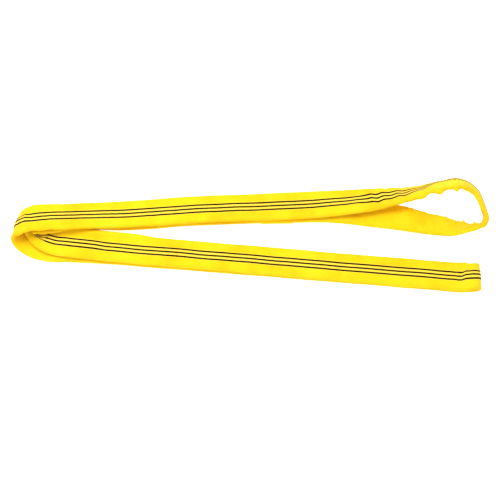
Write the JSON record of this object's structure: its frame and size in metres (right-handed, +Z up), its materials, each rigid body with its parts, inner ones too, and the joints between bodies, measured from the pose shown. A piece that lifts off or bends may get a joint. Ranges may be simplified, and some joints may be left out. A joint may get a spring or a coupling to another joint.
{
  "type": "round sling",
  "caption": "Endless soft round sling lying folded in half with one eye open: a striped woven sleeve over a core of yarn turns, for lifting loads.",
  "frame": {"origin": "centre of the bounding box's base, on the surface that the sling lies on", "axes": "+X along the folded sling from its fold to its open eye, +Y from the near strand to the far strand, +Z up"},
  "size_m": [1.0048, 0.2605, 0.0628],
  "materials": {
    "sleeve": "woven polyester, slight sheen",
    "stripe": "dark woven warp yarns",
    "core_yarn": "untwisted polyester filament yarn",
    "tape": "matt adhesive tape",
    "thread": "polyester sewing thread",
    "label": "blue coated label cloth, blank",
    "label_thread": "polyester sewing thread"
  },
  "bodies": {
    "sling": {"cover": "sleeve", "stripe_far": "stripe", "stripe_middle": "stripe", "stripe_near": "stripe", "core_yarn_1": "core_yarn", "core_yarn_2": "core_yarn", "core_yarn_3": "core_yarn", "core_yarn_4": "core_yarn", "core_yarn_5": "core_yarn", "core_yarn_6": "core_yarn", "core_yarn_7": "core_yarn", "core_yarn_8": "core_yarn", "core_tape": "tape", "closing_thread": "thread", "label_hem": "label", "label_thread": "label_thread"},
    "label": {"label_flap": "label"}
  },
  "joints": [
    {"name": "label_swing", "type": "hinge", "parent": "sling", "child": "label", "pos_m": [-0.10489, 0.06858, 0.00095], "axis": [0.9987, 0.0506, 0], "range_deg": [0, 178.5]}
  ]
}
